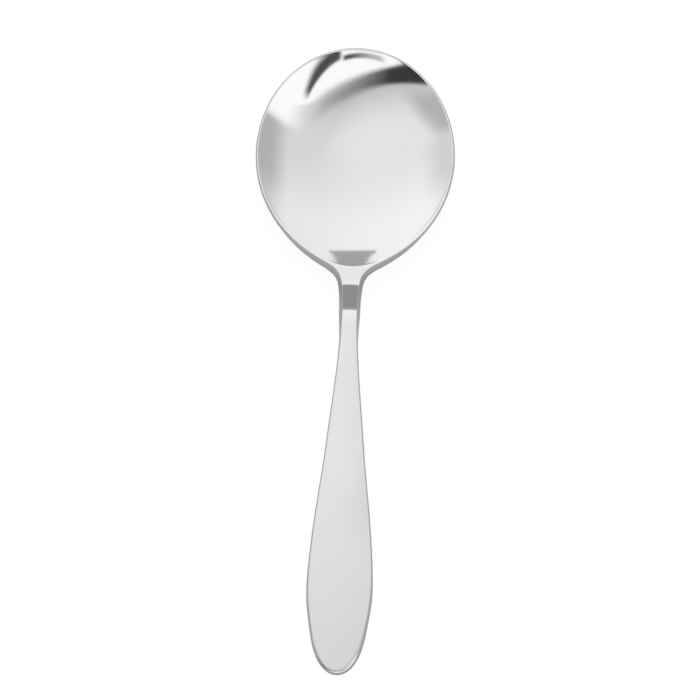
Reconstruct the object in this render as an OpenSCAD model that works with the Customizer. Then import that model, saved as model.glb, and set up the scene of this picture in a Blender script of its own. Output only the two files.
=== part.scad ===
// Serving spoon in polished stainless steel, lying on its belly and handle end.
// Millimetres. +Z up, +Y to the front of the bowl, the handle runs to -Y.
// The shape is worked out in the rim's own frame (rim plane level, bowl centre at
// the origin) and then tipped front-up into the resting pose.

/* [Bowl] */
// Width of the bowl over its rim
bowl_w = 70; // [67:0.5:73]
// Length of the bowl's oval over its rim
bowl_l = 80; // [78:0.5:84]
// Inside depth below the rim plane
bowl_d = 14; // [12:0.5:15.5]
// How full the wall is near the rim, 0 for a plain paraboloid
bowl_full = 0.1; // [0:0.05:0.25]
// Sheet thickness at the rim
rim_t = 1.4; // [1.2:0.1:1.8]
// Sheet thickness at the bottom
floor_t = 1.75; // [1.4:0.05:2.2]
// How softly the hollow rolls over into the heel
heel_soft = 0.015; // [0.01:0.005:0.04]
// Distance of the hollow's round end behind the bowl centre
heel_y = 42; // [41.5:0.1:42.5]

/* [Neck] */
// Distance of the waist behind the bowl centre
waist_y = 61.5; // [60:0.5:63]
// Width at the waist
waist_w = 7.2; // [6.6:0.2:8.4]
// Thickness of the neck
neck_t = 4.2; // [3.6:0.2:4.8]
// Slope of the shoulder behind the hollow
shoulder = 0.22; // [0.18:0.01:0.26]
// Slope of the cranked neck against the rim plane
neck_slope = 0.73; // [0.68:0.01:0.78]
// Slope taken back again at the end of the crank
neck_back = 0.67; // [0.62:0.01:0.72]

/* [Handle] */
// Greatest width
handle_w = 22.4; // [20:0.2:25]
// Distance of the greatest width behind the bowl centre
widest_y = 153.5; // [150:0.5:158]
// Length of the half-ellipse at the end
tip_l = 31.1; // [28:0.1:34]
// Thickness in the middle of the handle
handle_t = 3; // [2.6:0.1:3.6]
// Thickness at the end
tip_t = 3.5; // [3:0.1:4]
// Height of the crown on the upper face
crown = 0.55; // [0.3:0.05:0.8]
// Slope that the arch turns through along the handle
arch = 0.2635; // [0.24:0.0005:0.29]

/* [Rest] */
// Tilt of the rim plane when the spoon lies on a table, degrees
rest_tilt = 7.5; // [6.5:0.25:8.5]

/* [Hidden] */

// edge face: its rounding in general, along the sides near the tip and at the tip, and how
// far its foot stands out at the rim, the heel, the handle's sides and the tip
edge_out = 0.35;
edge_side = 1;
edge_end = 2.2;
edge_pow = 2.8;
draft_rim = 0.7;
draft_heel = 1.2;
draft_side = 0.4;
draft_end = 0.3;

// inner boundary of the rim, before the edge face
ra = bowl_w/2 - edge_out - 0.8*draft_rim;
rb = bowl_l/2 - edge_out - 0.8*draft_rim;

// crown of the neck, where the handle's crown starts
neck_crown = 0.12;

// bends of the centre line: start, length, change of slope
level = tan(rest_tilt) - neck_slope + neck_back + arch;
bends = [[-30, 13, shoulder], [-46, 4, neck_slope - shoulder], [-58, 10, -neck_back],
    [-68, 70, -arch], [-130, 36, level]];

// smooth step and its running sum
function sm(t) = let (c = min(1, max(0, t))) c*c*(3 - 2*c);
function smi(t) = let (c = min(1, max(0, t))) c*c*c - c*c*c*c/2 + max(0, t - 1);
function mix(p, q, t) = p + (q - p)*t;
function unit(v) = v/norm(v);
function total(v, i = 0) = i < len(v) ? v[i] + total(v, i + 1) : 0;

// how far the foot of the edge face stands out from its upper border
function draft(y) =
    mix(mix(draft_rim, draft_heel, sm((-26 - y)/14)), draft_side, sm((-60 - y)/14))
    + (draft_end - draft_side)*sm((-142 - y)/22);
function edge_w(y) = edge_out + (edge_side - edge_out)*sm((-142 - y)/22) + (edge_end - edge_side)*sm((-166 - y)/18);
function power(y) = mix(edge_pow, 2, sm((-142 - y)/22));
function inset(y) = edge_w(y) + 0.8*draft(y);

// outline behind the bowl: place, half width of the upper face, change of half width
y_join = -18.5;
k_join = sqrt(1 - pow(y_join/rb, 2));
rows = [
    [y_join, ra*k_join, -ra*y_join/(rb*rb)/k_join],
    [-40, 8.9, 1.75],
    [-47.5, 3, 0.15],
    [-waist_y, waist_w/2 - inset(-waist_y), 0],
    [-108.5, 5.9, -0.096],
    [-widest_y, handle_w/2 - inset(-widest_y), 0]];
tw = rows[5][1];

// how much the tip is drawn in against a plain half ellipse
tip_in = 0.07;

// centre line height and slope
function rise(y) = total([for (k = bends) k[2]*k[1]*smi((k[0] - y)/k[1])]);
function grade(y) = -total([for (k = bends) k[2]*sm((k[0] - y)/k[1])]);

// half width of the upper face
function herm(y, p, q) = let (l = q[0] - p[0], t = (y - p[0])/l)
    (2*t*t*t - 3*t*t + 1)*p[1] + (t*t*t - 2*t*t + t)*l*p[2]
    + (3*t*t - 2*t*t*t)*q[1] + (t*t*t - t*t)*l*q[2];
function seg(y, i = 0) = i >= len(rows) - 2 || y >= rows[i + 1][0] ? i : seg(y, i + 1);
function half_w(y) =
    y > y_join ? ra*sqrt(max(0, 1 - pow(y/rb, 2)))
    : y < -widest_y ? let (t = min(1, pow((y + widest_y)/tip_l, 2))) tw*sqrt(1 - t)*(1 - tip_in*t)
    : let (i = seg(y)) herm(y, rows[i], rows[i + 1]);

// the hollow: 1 in the middle of the bowl and 0 at its border, which follows the outline
// and ends round in the heel
heel_wide = 35;
heel_round = 0.6;
function hollow(x, y) =
    let (a = y > y_join ? ra*ra*(1 - pow(y/rb, 2)) : pow(half_w(y), 2),
         t = y + heel_y, r = heel_wide*t + heel_round*t*abs(t),
         w2 = y < -24 ? (a + r - sqrt(pow(a - r, 2) + 25*sm((-24 - y)/8)))/2 : a,
         f = (w2 - x*x)/(ra*ra))
    f*(1 + bowl_full*(1 - f));

// upper face: the hollow, its rolled heel, the centre line and the crown
function top_z(x, y) =
    let (f = hollow(x, y),
         e = mix(0.004, heel_soft, sm((-20 - y)/16)),
         w = max(2, half_w(max(-widest_y, min(y, -47)))),
         c = mix(neck_crown, crown, sm((-70 - y)/60))*sm((-45 - y)/8))
    rise(y) - bowl_d*(f + sqrt(f*f + e*e))/2*(1 - sm((-42 - y)/4)) - c*pow(x/w, 2);
function up(x, y) = let (h = 0.01)
    unit([(top_z(x - h, y) - top_z(x + h, y))/(2*h), (top_z(x, y - h) - top_z(x, y + h))/(2*h), 1]);

// thickness: thin at the rim, thick in the neck, thinner again along the handle
function thick(x, y) =
    let (q = min(1, pow(x/ra, 2) + pow(y/rb, 2)), s = mix(floor_t, rim_t, q))
    mix(s, neck_t, sm((-25 - y)/21))
    + (handle_t - neck_t)*sm((-58 - y)/50) + (tip_t - handle_t)*sm((-120 - y)/25);

// lower face: set off square to the upper face in the bowl, straight down at the rim, and
// flat across in the neck and the handle
function under(x, y) =
    let (n = up(x, y), q = pow(x/ra, 2) + pow(y/rb, 2),
         k = sm((y + 44)/16)*(1 - sm((q - 0.6)/0.36)),
         d = unit([k*n[0], k*n[1], n[2]]), t = thick(x, y),
         p = [x, y, top_z(x, y)] - d*t/max(0.3, d*n), g = grade(y))
    [p[0], p[1], mix(p[2], rise(y) - t*sqrt(1 + g*g), sm((-34 - y)/14))];

// stations: place on the spine, half width, place on the edge
front_n = 20;
front = [for (i = [0:front_n - 1]) let (f = 90 - 90*i/front_n)
    [(rb*rb - ra*ra)/rb*sin(f), i == 0 ? 0 : ra*cos(f), rb*sin(f)]];
back = [for (i = [0:17]) let (y = -2*i) [y, half_w(y), y]];
heel_n = 25;
heel = [for (i = [0:heel_n]) let (y = mix(-36, -waist_y, i/heel_n)) [y, half_w(y), y]];
shank_n = 32;
shank = [for (i = [0:shank_n]) let (y = mix(-waist_y, -widest_y, i/shank_n)) [y, half_w(y), y]];
tip_n = 14;
tip = [for (i = [1:tip_n]) let (f = 90*i/tip_n)
    [-widest_y - (tip_l - tw*tw/tip_l)*sin(f), i == tip_n ? 0 : tw*cos(f)*(1 - tip_in*pow(sin(f), 2)), -widest_y - tip_l*sin(f)]];
bowl_st = concat(front, back, heel);
handle_st = concat(shank, tip);

// one ring: upper face left to right, right edge down, lower face right to left, left edge up
half_n = 8;
edge_n = 4;
wide = 2*half_n + 1;
ring_n = 2*wide + 2*edge_n;
function across(j) = (j - half_n)/half_n;
function on_top(s, j) = let (u = across(j)) [u*s[1], s[0] + abs(u)*(s[2] - s[0])];
function lift(p) = [p[0], p[1], top_z(p[0], p[1])];
function outward(st, i, side) =
    let (s = st[i], x = side*s[1], n = up(x, s[2]))
    s[1] < 0.001 ? let (d = [0, sign(s[2] - s[0]), 0]) unit(d - n*(d*n))
    : s[0] == -waist_y ? unit([side*n[2], 0, -side*n[0]])
    : let (p = st[max(0, i - 1)], q = st[min(len(st) - 1, i + 1)],
           t = lift([side*q[1], q[2]]) - lift([side*p[1], p[2]]), o = cross(t, n))
      unit(o)*(o*[x, s[2] - s[0], 0] < 0 ? -1 : 1);

// the lower face reaches further out than the upper face, most of all along its border
function on_under(s, j, o) =
    let (u = across(j), p = on_top(s, j), k = u*u*draft(s[2])) under(p[0] + k*o[0], p[1] + k*o[1]);
function edge(s, j, o) =
    let (a = lift(on_top(s, j)), b = on_under(s, j, o), m = 2/power(s[2]))
    [for (k = [1:edge_n]) let (f = 180*k/(edge_n + 1), c = cos(f))
        (a + b)/2 + (a - b)/2*sign(c)*pow(abs(c), m) + o*edge_w(s[2])*pow(sin(f), m)];
function ring(st, i) =
    let (s = st[i], r = outward(st, i, 1), l = outward(st, i, -1), e = edge(s, 0, l))
    concat([for (j = [0:wide - 1]) lift(on_top(s, j))], edge(s, wide - 1, r),
        [for (j = [wide - 1:-1:0]) on_under(s, j, j > half_n ? r : l)],
        [for (k = [edge_n - 1:-1:0]) e[k]]);

// rings that close on the axis have one half only
function other(j) = j < wide ? wide - 1 - j : (ring_n + wide - 1 - j) % ring_n;
function fold(st, i, j) = let (m = j % ring_n) i*ring_n + (st[i][1] < 0.001 ? max(m, other(m)) : m);
function walls(st) = [for (i = [0:len(st) - 2]) for (j = [0:ring_n - 1])
    let (a = fold(st, i, j), b = fold(st, i, j + 1), c = fold(st, i + 1, j + 1), d = fold(st, i + 1, j))
    for (f = [[a, b, c], [a, c, d]]) f];

bowl_p = [for (i = [0:len(bowl_st) - 1]) for (p = ring(bowl_st, i)) p];
handle_p = [for (i = [0:len(handle_st) - 1]) for (p = ring(handle_st, i)) p];

// resting pose: the flat of the handle end on z = 0, the box centred on the axes
function tipped_y(p) = p[1]*cos(rest_tilt) - p[2]*sin(rest_tilt);
function tipped_z(p) = p[2]*cos(rest_tilt) + p[1]*sin(rest_tilt);
move_y = -(max([for (p = bowl_p) tipped_y(p)]) + min([for (p = handle_p) tipped_y(p)]))/2;
move_z = -tipped_z(under(0, -170));

module resting() {
    translate([0, move_y, move_z]) rotate([rest_tilt, 0, 0]) children();
}

// hollow bowl with its heel and the cranked neck up to the waist
module bowl() {
    last = (len(bowl_st) - 1)*ring_n;
    color([0.78, 0.79, 0.8])
    resting() polyhedron(bowl_p, concat(walls(bowl_st), [[for (j = [0:ring_n - 1]) last + j]]));
}

// drop-shaped handle from the waist to the tip
module handle() {
    color([0.74, 0.75, 0.76])
    resting() polyhedron(handle_p, concat(walls(handle_st), [[for (j = [ring_n - 1:-1:0]) j]]));
}

bowl();
handle();
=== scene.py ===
"""Serving spoon in polished steel: fine surfaces, steel finish, soft studio, photograph's camera.

The bowl and the handle are built again from the same formulas as the part's source, on a
much finer grid and with exact normals, so that the polished faces reflect cleanly.
Lengths are in millimetres in the rim's own frame until `place` puts them on the table in metres.
"""
import math

import bpy
import numpy as np
from mathutils import Matrix, Vector


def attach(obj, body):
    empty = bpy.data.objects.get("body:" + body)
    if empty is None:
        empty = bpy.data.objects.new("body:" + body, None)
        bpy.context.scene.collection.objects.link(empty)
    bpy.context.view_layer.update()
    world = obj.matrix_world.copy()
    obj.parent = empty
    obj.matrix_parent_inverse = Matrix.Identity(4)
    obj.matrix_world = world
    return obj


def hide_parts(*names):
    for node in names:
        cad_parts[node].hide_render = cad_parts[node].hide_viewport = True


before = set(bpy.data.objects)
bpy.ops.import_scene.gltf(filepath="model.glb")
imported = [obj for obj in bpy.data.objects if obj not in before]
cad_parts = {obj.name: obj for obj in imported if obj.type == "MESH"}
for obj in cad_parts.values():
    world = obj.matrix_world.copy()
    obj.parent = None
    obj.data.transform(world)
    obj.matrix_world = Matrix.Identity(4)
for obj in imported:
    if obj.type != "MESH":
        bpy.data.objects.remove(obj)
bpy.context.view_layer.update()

# ------------------------------------------------------------------ the spoon's own numbers
BOWL_W, BOWL_L, BOWL_D, BOWL_FULL = 70.0, 80.0, 14.0, 0.1
RIM_T, FLOOR_T, HEEL_SOFT = 1.4, 1.75, 0.015
HEEL_Y, HEEL_WIDE, HEEL_ROUND = 42.0, 35.0, 0.6
WAIST_Y, WAIST_W, NECK_T, SHOULDER, NECK_SLOPE, NECK_BACK = 61.5, 7.2, 4.2, 0.22, 0.73, 0.67
HANDLE_W, WIDEST_Y, TIP_L, HANDLE_T, TIP_T = 22.4, 153.5, 31.1, 3.0, 3.5
TIP_IN = 0.07
CROWN, NECK_CROWN, ARCH = 0.55, 0.12, 0.2635
REST_TILT = math.radians(7.5)
EDGE_OUT, EDGE_SIDE, EDGE_END, EDGE_POW = 0.35, 1.0, 2.2, 2.8
DRAFT_RIM, DRAFT_HEEL, DRAFT_SIDE, DRAFT_END = 0.7, 1.2, 0.4, 0.3

INSET = EDGE_OUT + 0.8 * DRAFT_RIM
RA, RB = BOWL_W / 2 - INSET, BOWL_L / 2 - INSET
LEVEL = math.tan(REST_TILT) - NECK_SLOPE + NECK_BACK + ARCH
BENDS = ((-30.0, 13.0, SHOULDER), (-46.0, 4.0, NECK_SLOPE - SHOULDER), (-58.0, 10.0, -NECK_BACK),
         (-68.0, 70.0, -ARCH), (-130.0, 36.0, LEVEL))
Y_JOIN = -18.5
K_JOIN = math.sqrt(1 - (Y_JOIN / RB) ** 2)


def sm(t):
    c = np.clip(t, 0, 1)
    return c * c * (3 - 2 * c)


def smi(t):
    c = np.clip(t, 0, 1)
    return c ** 3 - c ** 4 / 2 + np.maximum(0, t - 1)


def mix(a, b, t):
    return a + (b - a) * t


def unit(v):
    return v / np.maximum(np.linalg.norm(v, axis=-1, keepdims=True), 1e-12)


def draft(y):
    """How far the foot of the edge face stands out from its upper border."""
    return (mix(mix(DRAFT_RIM, DRAFT_HEEL, sm((-26 - y) / 14.0)), DRAFT_SIDE, sm((-60 - y) / 14.0))
            + (DRAFT_END - DRAFT_SIDE) * sm((-142 - y) / 22.0))


def edge_w(y):
    """Rounding of the edge face, wider round the handle's end."""
    return EDGE_OUT + (EDGE_SIDE - EDGE_OUT) * sm((-142 - y) / 22.0) + (EDGE_END - EDGE_SIDE) * sm((-166 - y) / 18.0)


def inset(y):
    return edge_w(y) + 0.8 * draft(y)


ROWS = ((Y_JOIN, RA * K_JOIN, -RA * Y_JOIN / RB ** 2 / K_JOIN), (-40.0, 8.9, 1.75), (-47.5, 3.0, 0.15),
        (-WAIST_Y, WAIST_W / 2 - inset(-WAIST_Y), 0.0), (-108.5, 5.9, -0.096), (-WIDEST_Y, HANDLE_W / 2 - inset(-WIDEST_Y), 0.0))
TIP_W = ROWS[5][1]


def rise(y):
    return sum(k[2] * k[1] * smi((k[0] - y) / k[1]) for k in BENDS)


def grade(y):
    return -sum(k[2] * sm((k[0] - y) / k[1]) for k in BENDS)


def half_w(y):
    y = np.asarray(y, float)
    w = RA * np.sqrt(np.maximum(0, 1 - (y / RB) ** 2))
    for p, q in zip(ROWS[:-1], ROWS[1:]):
        l = q[0] - p[0]
        t = (y - p[0]) / l
        h = ((2 * t ** 3 - 3 * t * t + 1) * p[1] + (t ** 3 - 2 * t * t + t) * l * p[2]
             + (3 * t * t - 2 * t ** 3) * q[1] + (t ** 3 - t * t) * l * q[2])
        w = np.where((y <= p[0]) & (y >= q[0]), h, w)
    t = np.minimum(1, ((y + WIDEST_Y) / TIP_L) ** 2)
    return np.where(y < -WIDEST_Y, TIP_W * np.sqrt(1 - t) * (1 - TIP_IN * t), w)


def hollow(x, y):
    """1 in the middle of the bowl and 0 at its border, which follows the outline and ends round in the heel."""
    w2 = np.where(y > Y_JOIN, RA ** 2 * (1 - (y / RB) ** 2), half_w(np.minimum(y, Y_JOIN)) ** 2)
    t = y + HEEL_Y
    r = HEEL_WIDE * t + HEEL_ROUND * t * np.abs(t)
    w2 = np.where(y < -24, (w2 + r - np.sqrt((w2 - r) ** 2 + 25 * sm((-24 - y) / 8.0))) / 2, w2)
    f = (w2 - x * x) / RA ** 2
    return f * (1 + BOWL_FULL * (1 - f))


def top_z(x, y):
    f = hollow(x, y)
    e = mix(0.004, HEEL_SOFT, sm((-20 - y) / 16.0))
    w = np.maximum(2.0, half_w(np.clip(y, -WIDEST_Y, -47.0)))
    c = mix(NECK_CROWN, CROWN, sm((-70 - y) / 60.0)) * sm((-45 - y) / 8.0)
    return rise(y) - BOWL_D * (f + np.sqrt(f * f + e * e)) / 2 * (1 - sm((-42 - y) / 4.0)) - c * (x / w) ** 2


def up(x, y, h=0.01):
    return unit(np.stack([(top_z(x - h, y) - top_z(x + h, y)) / (2 * h),
                          (top_z(x, y - h) - top_z(x, y + h)) / (2 * h), np.ones(np.broadcast(x, y).shape)], -1))


def thick(x, y):
    q = np.minimum(1, (x / RA) ** 2 + (y / RB) ** 2)
    return (mix(mix(FLOOR_T, RIM_T, q), NECK_T, sm((-25 - y) / 21.0))
            + (HANDLE_T - NECK_T) * sm((-58 - y) / 50.0) + (TIP_T - HANDLE_T) * sm((-120 - y) / 25.0))


def under(x, y):
    n = up(x, y)
    q = (x / RA) ** 2 + (y / RB) ** 2
    k = sm((y + 44.0) / 16.0) * (1 - sm((q - 0.6) / 0.36))
    d = unit(np.stack([k * n[..., 0], k * n[..., 1], n[..., 2]], -1))
    t = thick(x, y)
    p = np.stack([x, y, top_z(x, y)], -1) - d * (t / np.maximum(0.3, (d * n).sum(-1)))[..., None]
    p[..., 2] = mix(p[..., 2], rise(y) - t * np.sqrt(1 + grade(y) ** 2), sm((-34 - y) / 14.0))
    return p


def under_normal(x, y, h=0.02):
    du = under(x + h, y) - under(x - h, y)
    dv = under(x, y + h) - under(x, y - h)
    return -unit(np.cross(du, dv))


# ------------------------------------------------------------------ rows across the whole spoon
HALF, EDGE = 32, 12
WIDE = 2 * HALF + 1
RING = 2 * WIDE + 2 * EDGE


def row_table(front=84, back=44, heel=104, shank=112, tip=52):
    """Place on the spine, half width and place on the edge of each row, and the number of the waist row."""
    f = np.radians(90 - 90 * np.arange(front) / front)
    a = np.stack([(RB * RB - RA * RA) / RB * np.sin(f), RA * np.cos(f), RB * np.sin(f)], 1)
    a[0, 1] = 0
    y = np.concatenate([np.linspace(0, -36, back, endpoint=False), np.linspace(-36, -WAIST_Y, heel + 1),
                        np.linspace(-WAIST_Y, -WIDEST_Y, shank + 1)[1:]])
    b = np.stack([y, half_w(y), y], 1)
    f = np.radians(90 * np.arange(1, tip + 1) / tip)
    c = np.stack([-WIDEST_Y - (TIP_L - TIP_W * TIP_W / TIP_L) * np.sin(f), TIP_W * np.cos(f) * (1 - TIP_IN * np.sin(f) ** 2),
                  -WIDEST_Y - TIP_L * np.sin(f)], 1)
    c[-1, 1] = 0
    return np.concatenate([a, b, c]), front + back + heel


def outward(st, waist, side):
    x, y = side * st[:, 1], st[:, 2]
    n = up(x, y)
    e = np.stack([x, y, top_z(x, y)], 1)
    t = np.empty_like(e)
    t[1:-1] = e[2:] - e[:-2]
    t[0], t[-1] = e[1] - e[0], e[-1] - e[-2]
    o = unit(np.cross(t, n))
    o *= np.where((o * np.stack([x, st[:, 2] - st[:, 0], 0 * x], 1)).sum(1) < 0, -1, 1)[:, None]
    d = np.stack([0 * x, np.sign(st[:, 2] - st[:, 0]), 0 * x], 1)
    on_axis = st[:, 1] < 0.001
    o[on_axis] = unit(d - n * (d * n).sum(1, keepdims=True))[on_axis]
    o[waist] = unit(np.array([side * n[waist, 2], 0.0, -side * n[waist, 0]]))
    return o


OTHER = np.array([WIDE - 1 - j if j < WIDE else (RING + WIDE - 1 - j) % RING for j in range(RING)])


def skin():
    """Points, normals and edge weight of every row, as grids, and the number of the waist row."""
    st, waist = row_table()
    u = np.sin(np.pi / 2 * np.linspace(0, 1, HALF + 1))
    u = np.concatenate([-u[::-1], u[1:]])
    x = u[None] * st[:, 1:2]
    y = st[:, 0:1] + np.abs(u)[None] * (st[:, 2:3] - st[:, 0:1])
    top = np.stack([x, y, top_z(x, y)], -1)
    out = {side: outward(st, waist, side) for side in (1, -1)}
    flank = (u ** 2)[None] * draft(st[:, 2])[:, None]
    xb = x + flank * np.where(u[None] > 0, out[1][:, None, 0], out[-1][:, None, 0])
    yb = y + flank * np.where(u[None] > 0, out[1][:, None, 1], out[-1][:, None, 1])
    bottom = under(xb, yb)
    f = np.pi * np.arange(1, EDGE + 1) / (EDGE + 1)
    power = mix(EDGE_POW, 2.0, sm((-142 - st[:, 2]) / 22.0))[:, None]
    c = np.sign(np.cos(f)) * np.abs(np.cos(f)) ** (2 / power)
    s = np.sin(f) ** (2 / power)
    gc, gs = np.sign(c) * np.abs(c) ** (power - 1), s ** (power - 1)
    c, s, gc, gs = c[..., None], s[..., None], gc[..., None], gs[..., None]
    strips, turns = {}, {}
    for side, j in ((1, -1), (-1, 0)):
        a, b = top[:, j], bottom[:, j]
        o = (out[side] * edge_w(st[:, 2])[:, None])[:, None]
        mid, half = (a + b)[:, None] / 2, (a - b)[:, None] / 2
        strips[side] = mid + half * c + o * s
        turns[side] = (-half * gs + o * gc, half * c + o * s)
    p = np.concatenate([top, strips[1], bottom[:, ::-1], strips[-1][:, ::-1]], 1)
    flip = np.array([-1.0, 1.0, 1.0])
    before, after = p[1][OTHER] * flip, p[-2][OTHER] * flip
    along = np.concatenate([p[1:], after[None]]) - np.concatenate([before[None], p[:-1]])
    n = np.empty_like(p)
    n[:, :WIDE] = up(x, y)
    n[:, WIDE + EDGE:2 * WIDE + EDGE] = under_normal(xb, yb)[:, ::-1]
    for side, at in ((1, slice(WIDE, WIDE + EDGE)), (-1, slice(2 * WIDE + EDGE, RING))):
        turn, away = turns[side]
        if side < 0:
            turn, away = turn[:, ::-1], away[:, ::-1]
        m = unit(np.cross(along[:, at], turn))
        n[:, at] = m * np.where((m * away).sum(-1, keepdims=True) < 0, -1, 1)
    edge = np.zeros(p.shape[:2])
    edge[:, WIDE:WIDE + EDGE] = np.sin(f)[None] ** 0.5
    edge[:, 2 * WIDE + EDGE:] = np.sin(f)[None, ::-1] ** 0.5
    return p, n, edge, st, waist


def place(v, move=None):
    c, s = math.cos(REST_TILT), math.sin(REST_TILT)
    w = np.stack([v[..., 0], v[..., 1] * c - v[..., 2] * s, v[..., 2] * c + v[..., 1] * s], -1)
    return w if move is None else (w + move) / 1000


P, N, EDGE_WEIGHT, ST, WAIST = skin()
tipped = place(P)
MOVE = np.array([0.0, -(tipped[..., 1].max() + tipped[..., 1].min()) / 2,
                 -place(under(np.array([0.0]), np.array([-170.0])))[0, 2]])
P, N = place(P, MOVE), place(N)


def strip_mesh(name, first, last, cap_at, cap_normal):
    """A closed solid from rows first to last, with a flat face where it meets its neighbour."""
    used = {}
    corners, normals, weights = [], [], []

    def vertex(i, j):
        j %= RING
        if ST[i, 1] < 0.001:
            j = max(j, int(OTHER[j]))
        if (i, j) not in used:
            used[i, j] = len(corners)
            corners.append(P[i, j])
            normals.append(N[i, j])
            weights.append(EDGE_WEIGHT[i, j])
        return used[i, j]

    faces = [(vertex(i, j), vertex(i + 1, j), vertex(i + 1, j + 1), vertex(i, j + 1))
             for i in range(first, last) for j in range(RING)]
    # the flat face is a ladder of narrow quads between the upper and the lower face
    ring = [vertex(cap_at, j) for j in range(RING)]
    lower = WIDE + EDGE
    cap = []
    for j in range(WIDE - 1):
        cap.append((ring[j], ring[j + 1], ring[lower + WIDE - 2 - j], ring[lower + WIDE - 1 - j]))
    right = ring[WIDE - 1:lower + 1]
    left = ring[lower + WIDE - 1:] + ring[:1]
    for side in (right, left):
        a, b = 0, len(side) - 1
        while b - a > 2:
            cap.append((side[a], side[a + 1], side[b - 1], side[b]))
            a, b = a + 1, b - 1
        if b - a == 2:
            cap.append((side[a], side[a + 1], side[b]))
    if cap_at == first:
        pass
    else:
        cap = [tuple(reversed(c)) for c in cap]
    mesh = bpy.data.meshes.new(name)
    mesh.from_pydata([tuple(v) for v in corners], [], faces + cap)
    mesh.update()
    mesh.polygons.foreach_set("use_smooth", np.ones(len(mesh.polygons), bool))
    loops = np.empty(len(mesh.loops), np.int32)
    mesh.loops.foreach_get("vertex_index", loops)
    split = np.array(normals)[loops]
    split[4 * len(faces):] = cap_normal
    attribute = mesh.attributes.new("edge_weight", "FLOAT", "POINT")
    attribute.data.foreach_set("value", np.array(weights, np.float32))
    mesh.normals_split_custom_set([tuple(v) for v in split])
    piece = bpy.data.objects.new(name, mesh)
    bpy.context.scene.collection.objects.link(piece)
    return piece


SEAM_NORMAL = place(np.array([0.0, -1.0, 0.0]))
spoon_bowl = strip_mesh("spoon_bowl", 0, WAIST, WAIST, SEAM_NORMAL)
spoon_handle = strip_mesh("spoon_handle", WAIST, len(ST) - 1, WAIST, -SEAM_NORMAL)


# ------------------------------------------------------------------ node helpers
class Sheet:
    """Small helper that adds nodes to a tree and returns their outputs."""

    def __init__(self, tree):
        self.tree = tree
        tree.nodes.clear()

    def node(self, kind, **props):
        n = self.tree.nodes.new(kind)
        for k, v in props.items():
            setattr(n, k, v)
        return n

    def feed(self, socket, value):
        if isinstance(value, bpy.types.NodeSocket):
            self.tree.links.new(value, socket)
        else:
            socket.default_value = value

    def math(self, op, *values, clamp=False):
        n = self.node("ShaderNodeMath", operation=op, use_clamp=clamp)
        for socket, v in zip(n.inputs, values):
            self.feed(socket, v)
        return n.outputs[0]

    def step(self, value, lo, hi, out_lo=0.0, out_hi=1.0):
        """Smooth step from lo to hi."""
        n = self.node("ShaderNodeMapRange", interpolation_type="SMOOTHSTEP")
        for k, v in (("Value", value), ("From Min", lo), ("From Max", hi), ("To Min", out_lo), ("To Max", out_hi)):
            self.feed(n.inputs[k], v)
        return n.outputs["Result"]

    def lerp(self, a, b, t):
        n = self.node("ShaderNodeMix", data_type="FLOAT")
        self.feed(n.inputs[0], t)
        self.feed(n.inputs[2], a)
        self.feed(n.inputs[3], b)
        return n.outputs[0]

    def noise(self, vector, scale, detail=2.0, rough=0.5, distortion=0.0):
        n = self.node("ShaderNodeTexNoise")
        self.feed(n.inputs["Vector"], vector)
        self.feed(n.inputs["Scale"], scale)
        self.feed(n.inputs["Detail"], detail)
        self.feed(n.inputs["Roughness"], rough)
        self.feed(n.inputs["Distortion"], distortion)
        return n.outputs["Fac"]

    def mapped(self, vector, scale=(1, 1, 1), turn=(0, 0, 0), move=(0, 0, 0)):
        n = self.node("ShaderNodeMapping")
        self.feed(n.inputs["Vector"], vector)
        self.feed(n.inputs["Scale"], scale)
        self.feed(n.inputs["Rotation"], turn)
        self.feed(n.inputs["Location"], move)
        return n.outputs[0]


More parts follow.
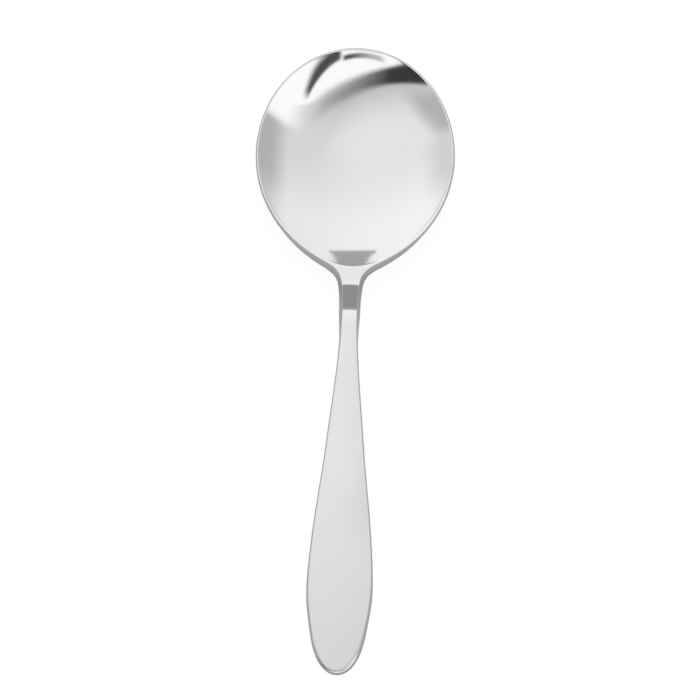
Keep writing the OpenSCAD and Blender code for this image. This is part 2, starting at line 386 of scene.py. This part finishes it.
# ------------------------------------------------------------------ polished steel
def steel(name, line_turn, line_scale, seed, end_shade_amount=0.0):
    """Polished stainless steel: faint polishing lines, hairline scratches, wiped haze, worn edges and scuffs where it
    rests, and painted shade that darkens the colour towards the handle's end.
    """
    mat = bpy.data.materials.new(name)
    mat.use_nodes = True
    s = Sheet(mat.node_tree)
    where = s.node("ShaderNodeTexCoord").outputs["Object"]
    shift = (0.37 * seed, 0.61 * seed, 0.19 * seed)
    # polishing lines, long and very fine
    lines = s.noise(s.mapped(where, line_scale, (0, 0, line_turn), shift), 1.0, 3.0, 0.6)
    # hairline scratches in two directions
    hair = []
    for k, turn in enumerate((0.5, -0.9)):
        h = s.noise(s.mapped(where, (2600, 90, 400), (0, 0, turn + 0.2 * seed), (shift[0] + k, shift[1], shift[2])), 1.0, 1.0)
        hair.append(s.step(h, 0.70, 0.76))
    hair = s.math("ADD", hair[0], hair[1], clamp=True)
    # wiped haze, some centimetres wide, and fine grain of the polish
    haze = s.noise(s.mapped(where, (1, 0.55, 1), (0, 0, 0.6), shift), 46.0, 3.0, 0.55, 0.6)
    grain = s.noise(where, 1900.0, 2.0, 0.6)
    # edges carry the most wear, and the underside is scuffed where it stands on the table
    edge = s.node("ShaderNodeAttribute", attribute_name="edge_weight").outputs["Fac"]
    nick = s.math("MULTIPLY", edge, s.step(s.noise(where, 620.0, 2.0, 0.6), 0.52, 0.72))
    apart = s.node("ShaderNodeSeparateXYZ")
    s.feed(apart.inputs[0], where)
    low = s.step(apart.outputs["Z"], 0.0022, 0.0001)
    scuff = s.math("MULTIPLY", low, s.step(s.noise(s.mapped(where, (1800, 240, 300), (0, 0, 0.25)), 1.0, 2.0, 0.65), 0.46, 0.7))
    # roughness
    rough = s.lerp(0.05, 0.085, haze)
    rough = s.math("ADD", rough, s.math("MULTIPLY", s.math("SUBTRACT", lines, 0.5), 0.03))
    rough = s.math("ADD", rough, s.math("MULTIPLY", hair, 0.03))
    rough = s.math("ADD", rough, s.math("MULTIPLY", nick, 0.10))
    rough = s.math("ADD", rough, s.math("MULTIPLY", scuff, 0.20))
    # colour: neutral steel, a trace darker in the haze and in the scratches
    shade = s.math("ADD", s.math("MULTIPLY", haze, 0.6), s.math("MULTIPLY", grain, 0.2))
    shade = s.math("ADD", shade, s.math("MULTIPLY", hair, 0.10))
    shade = s.math("ADD", shade, s.math("MULTIPLY", scuff, 0.25), clamp=True)
    ramp = s.node("ShaderNodeValToRGB")
    ramp.color_ramp.elements[0].position = 0.15
    ramp.color_ramp.elements[0].color = (0.738, 0.738, 0.736, 1)
    ramp.color_ramp.elements[1].position = 0.95
    ramp.color_ramp.elements[1].color = (0.693, 0.693, 0.691, 1)
    s.feed(ramp.inputs[0], shade)
    # painted shade: the colour is darker towards the handle's end, where the reflection is darker; it varies a little
    # with the haze
    end_shade_mask = s.math("MULTIPLY", s.step(apart.outputs["Y"], -0.042, -0.120), s.lerp(0.8 * end_shade_amount, 1.2 * end_shade_amount, haze))
    end_shade_mix = s.node("ShaderNodeMix", data_type="RGBA")
    s.feed(end_shade_mix.inputs[0], end_shade_mask)
    s.feed(end_shade_mix.inputs[6], ramp.outputs[0])
    end_shade_mix.inputs[7].default_value = (0.50, 0.50, 0.498, 1)
    # relief of the lines, scratches and scuffs
    relief = s.math("ADD", s.math("MULTIPLY", lines, 0.5), s.math("MULTIPLY", hair, -0.35))
    relief = s.math("ADD", relief, s.math("MULTIPLY", scuff, -0.6))
    relief = s.math("ADD", relief, s.math("MULTIPLY", nick, -0.5))
    bump = s.node("ShaderNodeBump")
    bump.inputs["Strength"].default_value = 0.05
    bump.inputs["Distance"].default_value = 0.00003
    s.feed(bump.inputs["Height"], relief)
    shader = s.node("ShaderNodeBsdfPrincipled")
    shader.inputs["Metallic"].default_value = 1.0
    s.feed(shader.inputs["Base Color"], end_shade_mix.outputs[2])
    s.feed(shader.inputs["Roughness"], rough)
    s.feed(shader.inputs["Normal"], bump.outputs[0])
    s.feed(s.node("ShaderNodeOutputMaterial").inputs["Surface"], shader.outputs[0])
    return mat


spoon_bowl.data.materials.append(steel("steel_bowl", 0.0, (1500, 60, 300), 1))
# the handle gets painted shade towards its end (last argument)
spoon_handle.data.materials.append(steel("steel_handle", 0.0, (1800, 45, 300), 2, 0.46))
for piece, node in ((spoon_bowl, "bowl"), (spoon_handle, "handle")):
    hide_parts(node)
    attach(piece, "root")

# ------------------------------------------------------------------ pale floor
floor_mesh = bpy.data.meshes.new("floor")
floor_mesh.from_pydata([(-4, -4, 0), (4, -4, 0), (4, 4, 0), (-4, 4, 0)], [], [(0, 1, 2, 3)])
floor = bpy.data.objects.new("floor", floor_mesh)
floor.location.z = -0.00012
bpy.context.scene.collection.objects.link(floor)
paper = bpy.data.materials.new("floor_paper")
paper.use_nodes = True
s = Sheet(paper.node_tree)
path = s.node("ShaderNodeLightPath")
seen = s.node("ShaderNodeEmission")
seen.inputs["Color"].default_value = (1, 1, 1, 1)
seen.inputs["Strength"].default_value = 0.90
matt = s.node("ShaderNodeBsdfDiffuse")
matt.inputs["Color"].default_value = (0.14, 0.14, 0.14, 1)
both = s.node("ShaderNodeAddShader")
s.feed(both.inputs[0], seen.outputs[0])
s.feed(both.inputs[1], matt.outputs[0])
plain = s.node("ShaderNodeBsdfDiffuse")
plain.inputs["Color"].default_value = (0.55, 0.55, 0.55, 1)
pick = s.node("ShaderNodeMixShader")
s.feed(pick.inputs[0], path.outputs["Is Camera Ray"])
s.feed(pick.inputs[1], plain.outputs[0])
s.feed(pick.inputs[2], both.outputs[0])
s.feed(s.node("ShaderNodeOutputMaterial").inputs["Surface"], pick.outputs[0])
floor_mesh.materials.append(paper)

# ------------------------------------------------------------------ soft studio
# The studio is a light tent, described in a flat map of the sky: the zenith is the origin, the
# horizon is the unit circle, +Y is ahead over the bowl. Dark places are gaps and flags in the tent.
FLAG_W, FLAG_Y = 0.195, 0.813
world = bpy.data.worlds.new("studio")
bpy.context.scene.world = world
world.use_nodes = True
s = Sheet(world.node_tree)
direction = s.node("ShaderNodeTexCoord").outputs["Generated"]
apart = s.node("ShaderNodeSeparateXYZ")
s.feed(apart.inputs[0], direction)
dx, dy, dz = apart.outputs
away = s.math("MULTIPLY", s.math("ARCCOSINE", s.math("MAXIMUM", s.math("MINIMUM", dz, 1.0), -1.0)), 2 / math.pi)
flat = s.math("MAXIMUM", s.math("SQRT", s.math("ADD", s.math("MULTIPLY", dx, dx), s.math("MULTIPLY", dy, dy))), 0.0001)
px = s.math("MULTIPLY", away, s.math("DIVIDE", dx, flat))
py = s.math("MULTIPLY", away, s.math("DIVIDE", dy, flat))


def ring_at(cx, cy):
    """Distance from a point of the map."""
    a, b = s.math("SUBTRACT", px, cx), s.math("SUBTRACT", py, cy)
    return s.math("SQRT", s.math("ADD", s.math("MULTIPLY", a, a), s.math("MULTIPLY", b, b)))


def times(*values):
    out = values[0]
    for v in values[1:]:
        out = s.math("MULTIPLY", out, v)
    return out


def limit(value, lo):
    return s.math("MAXIMUM", value, lo)


# tent: brighter overhead, ahead and to the left, falling off at the horizon
light = s.math("ADD", 1.0, s.step(py, 0.05, 0.70, 0.0, 0.19))
light = s.math("ADD", light, s.step(px, -0.7, 0.7, 0.06, -0.09))
light = s.math("ADD", light, s.step(away, 0.55, 0.0, 0.0, 0.075))
light = s.math("MULTIPLY", light, s.step(away, s.step(py, 0.2, 0.7, 0.84, 0.905), s.step(py, 0.2, 0.7, 1.0, 0.95), 1.0, s.step(py, 0.2, 0.7, 0.14, 0.36)))
# duller sides
side_r = times(s.step(s.math("ADD", px, s.math("MULTIPLY", py, 0.12)), 0.60, 0.80), s.step(py, -0.065, -0.02), s.step(py, 0.70, 0.30, 0.4, 1.0))
light = s.lerp(light, 0.60, side_r)
lean = s.math("ADD", s.math("MULTIPLY", px, -0.819), s.math("MULTIPLY", py, -0.574))
side_l = times(s.step(lean, 0.53, 0.68), s.step(py, 0.20, 0.0), s.step(py, -0.46, -0.20))
light = s.lerp(light, 0.62, side_l)
light = s.lerp(light, 0.87, times(s.step(px, -0.56, -0.80), s.step(py, 0.0, 0.12), s.step(py, 0.7, 0.3)))
# white light behind, low over the handle's end
rear = s.math("SUBTRACT", 3.846, ring_at(-1.228, 3.20))
upper = s.math("SUBTRACT", 1.119, ring_at(-0.299, 0.553))
lower = s.math("SUBTRACT", 0.908, ring_at(-0.257, 0.453))
back = s.math("MAXIMUM", times(s.step(rear, 0.0, -0.03), s.step(upper, 0.03, -0.03)), times(s.step(px, 0.46, 0.70), s.step(py, 0.0, -0.11)))
back = times(back, s.step(px, -0.62, -0.45), s.step(away, 0.98, 0.85))
light = s.lerp(light, 1.34, back)
# the tent is duller in front of the dark gap
near = limit(s.math("SUBTRACT", 1.0, s.math("DIVIDE", lower, 0.27)), 0.0)
near = s.math("POWER", s.math("MINIMUM", near, 1.0), 1.5)
near = times(near, s.step(lower, -0.07, 0.0), s.step(px, 0.50, 0.10), s.step(px, -0.80, -0.45), 0.33)
light = s.math("MULTIPLY", light, s.math("SUBTRACT", 1.0, near))
# dark flag ahead: its lower edge is straight, its sides run in, and it widens again higher up
level = s.math("SUBTRACT", py, s.math("MULTIPLY", px, s.math("ADD", 0.035, s.math("MULTIPLY", px, 0.30))))
half = s.math("ADD", s.step(py, 0.826, 0.864, FLAG_W, 0.105), s.step(py, 0.866, 0.871, 0.0, 0.8))
flag = times(s.step(s.math("SUBTRACT", s.math("ABSOLUTE", px), half), 0.006, -0.006), s.step(level, FLAG_Y - 0.004, FLAG_Y + 0.004))
light = s.lerp(light, s.step(py, 0.862, 0.872, 0.485, 0.36), flag)
# dark gap behind: sharp and black at the left, a soft grey trail to the right
veil = s.step(px, -0.50, 0.35, 0.012, 0.05)
blur = s.step(px, -0.40, 0.10, 0.014, 0.045)
fade = s.math("MAXIMUM", s.math("MINIMUM", s.math("SUBTRACT", 0.69, s.math("MULTIPLY", px, 0.93)), 1.0), 0.0)
gap = times(s.step(upper, s.math("MULTIPLY", veil, -1.0), veil), s.step(lower, blur, s.math("MULTIPLY", blur, -1.0)), fade, s.step(px, 0.54, 0.30))
light = s.lerp(light, 0.05, gap)
# second gap behind on the right, narrow, ending in a point
slit = ring_at(-0.031, -0.107)
inner = s.step(py, -0.46, -0.60, 0.556, 0.560)
outer = s.step(py, -0.28, -0.60, 0.598, 0.644)
gap2 = times(s.step(s.math("SUBTRACT", slit, inner), -0.006, 0.010), s.step(s.math("SUBTRACT", slit, outer), 0.030, -0.028),
             s.step(py, -0.26, -0.36), s.step(px, 0.16, 0.22))
light = s.lerp(light, 0.08, gap2)
# low dark edge behind
tilted = s.math("ADD", away, s.math("MULTIPLY", px, 0.04))
low = times(s.step(tilted, 0.640, 0.652), s.step(tilted, 0.684, 0.672), s.step(py, -0.56, -0.60), s.step(px, -0.32, -0.20), s.step(px, 0.188, 0.140),
            s.step(px, 0.12, -0.20, 1.0, 0.55))
light = s.lerp(light, 0.04, low)
shine = s.node("ShaderNodeBackground")
s.feed(shine.inputs["Strength"], light)
shine.inputs["Color"].default_value = (1, 1, 1, 1)
pale = s.node("ShaderNodeBackground")
pale.inputs["Color"].default_value = (0.97, 0.97, 0.97, 1)
pick = s.node("ShaderNodeMixShader")
s.feed(pick.inputs[0], s.node("ShaderNodeLightPath").outputs["Is Camera Ray"])
s.feed(pick.inputs[1], shine.outputs[0])
s.feed(pick.inputs[2], pale.outputs[0])
s.feed(s.node("ShaderNodeOutputWorld").inputs["Surface"], pick.outputs[0])

# ------------------------------------------------------------------ camera
TILT, ROLL, SCALE, REACH = math.radians(16.0), math.radians(2.082), 0.3433, 1200.0
AIM = np.array([0.0, -70.0, 5.0])
AIM_X, AIM_Y, SIDE = 348.51, 341.83, 700.0
toward = np.array([0.0, -math.sin(TILT), math.cos(TILT)])
ahead_v = unit(np.array([0.0, 1.0, 0.0]) - toward * toward[1])
right_v = np.cross(ahead_v, toward)
cam_right = right_v * math.cos(ROLL) + ahead_v * math.sin(ROLL)
cam_up = -right_v * math.sin(ROLL) + ahead_v * math.cos(ROLL)
eye = AIM + toward * REACH + cam_right * (SIDE / 2 - AIM_X) * SCALE + cam_up * (AIM_Y - SIDE / 2) * SCALE
cam_data = bpy.data.cameras.new("camera")
cam_data.sensor_width = 36.0
cam_data.lens = REACH / SCALE * 36.0 / SIDE
camera = bpy.data.objects.new("camera", cam_data)
axes = [place(v) for v in (cam_right, cam_up, toward)]
spot = place(eye, MOVE)
camera.matrix_world = Matrix([[axes[0][i], axes[1][i], axes[2][i], spot[i]] for i in range(3)] + [[0, 0, 0, 1]])
bpy.context.scene.collection.objects.link(camera)
bpy.context.scene.camera = camera
bpy.context.scene.view_settings.view_transform = "Standard"
bpy.context.scene.view_settings.look = "None"
